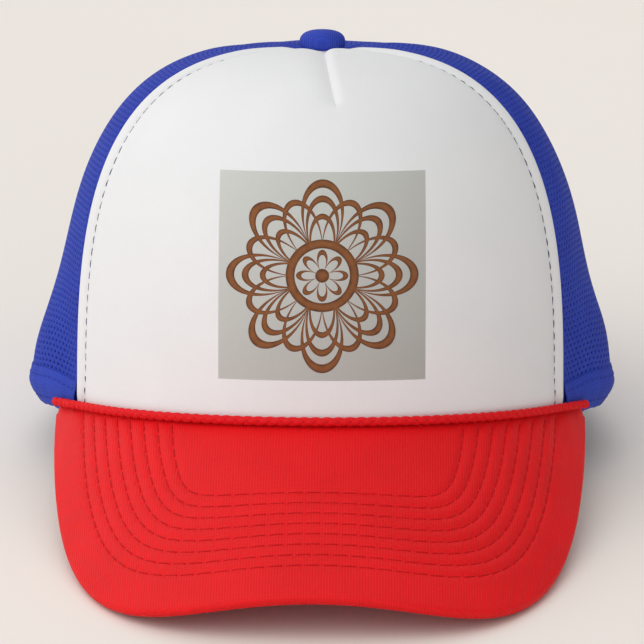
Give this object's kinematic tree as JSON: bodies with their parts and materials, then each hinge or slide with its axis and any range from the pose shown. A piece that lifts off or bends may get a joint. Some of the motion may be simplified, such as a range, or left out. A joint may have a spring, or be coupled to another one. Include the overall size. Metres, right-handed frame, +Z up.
{
  "type": "baseball cap",
  "caption": "Foam-front mesh cap with a curved stitched visor, a covered button, and a rear opening closed by two moulded straps with pegs and holes.",
  "frame": {"origin": "on the table under the middle of the cap's outline", "axes": "+Z up, front (visor) towards -Y, the wearer's left towards +X; the cap rests on its two visor tips and the two feet of the rear opening"},
  "size_m": [0.192, 0.2714, 0.1386],
  "materials": {
    "white_cloth": "brushed knit, matt",
    "foam": "open-cell foam, matt",
    "blue_mesh": "stiff open nylon mesh, slight sheen",
    "blue_cloth": "woven cotton twill, matt",
    "red_cloth": "ribbed cotton cloth, matt",
    "red_braid": "braided cord",
    "blue_plastic": "moulded polyethylene, satin",
    "visor_board": "extruded sheet, matt",
    "button_steel": "pressed steel"
  },
  "bodies": {
    "crown": {"front_face": "white_cloth", "front_foam": "foam", "side_mesh_left": "blue_mesh", "side_mesh_right": "blue_mesh", "rear_mesh_left": "blue_mesh", "rear_mesh_right": "blue_mesh", "front_tape_left": "blue_cloth", "front_tape_right": "blue_cloth", "side_tape_left": "blue_cloth", "side_tape_right": "blue_cloth", "rear_tape": "blue_cloth", "hem_binding_left": "blue_cloth", "hem_binding_right": "blue_cloth", "rear_opening_binding": "blue_cloth", "sweatband": "blue_cloth", "visor_board": "visor_board", "visor_top_cover": "red_cloth", "visor_under_cover": "red_cloth", "visor_braid": "red_braid", "hole_strap_tab": "blue_plastic", "peg_strap_tab": "blue_plastic", "button_cover": "blue_cloth", "button_shell": "button_steel", "button_back": "button_steel"},
    "hole_strap": {"hole_strap": "blue_plastic"},
    "peg_strap": {"peg_strap": "blue_plastic"}
  },
  "joints": [
    {"name": "hole_strap_swing", "type": "hinge", "parent": "crown", "child": "hole_strap", "pos_m": [0.03791, 0.12736, 0.0113], "axis": [0, 0, -1], "range_deg": [0, 75]},
    {"name": "peg_strap_swing", "type": "hinge", "parent": "crown", "child": "peg_strap", "pos_m": [-0.03791, 0.12736, 0.0113], "axis": [0, 0, -1], "range_deg": [0, 45]}
  ]
}
